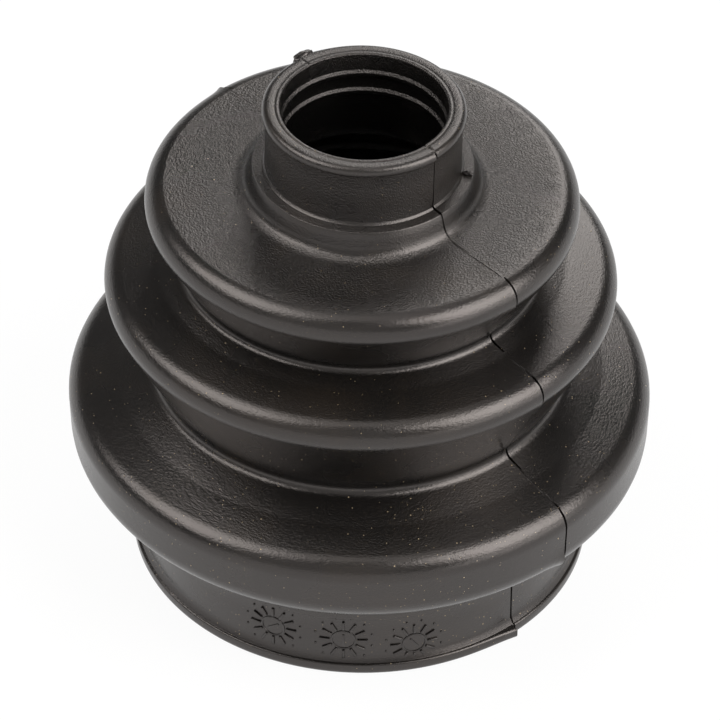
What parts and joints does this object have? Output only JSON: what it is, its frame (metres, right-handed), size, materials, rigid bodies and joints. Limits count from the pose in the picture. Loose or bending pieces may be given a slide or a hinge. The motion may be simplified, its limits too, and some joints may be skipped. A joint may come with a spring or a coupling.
{
  "type": "rubber bellows boot",
  "caption": "Moulded rubber bellows boot that seals a drive shaft joint, with stepped folds between a small and a large clamped collar.",
  "frame": {"origin": "on the boot's axis, in the plane of the large collar's mouth, which is the face it rests on", "axes": "+Z along the axis, from the large collar to the small collar; the mould's parting plane holds Z and stands 45.7 degrees clockwise of +X seen from above; -Y is towards the camera"},
  "size_m": [0.0924, 0.0924, 0.0847],
  "materials": {
    "moulded_rubber": "satin charcoal rubber, finely grained on the level faces, with a little pale dust"
  },
  "bodies": {
    "root": {"bellows_boot": "moulded_rubber"}
  },
  "joints": []
}
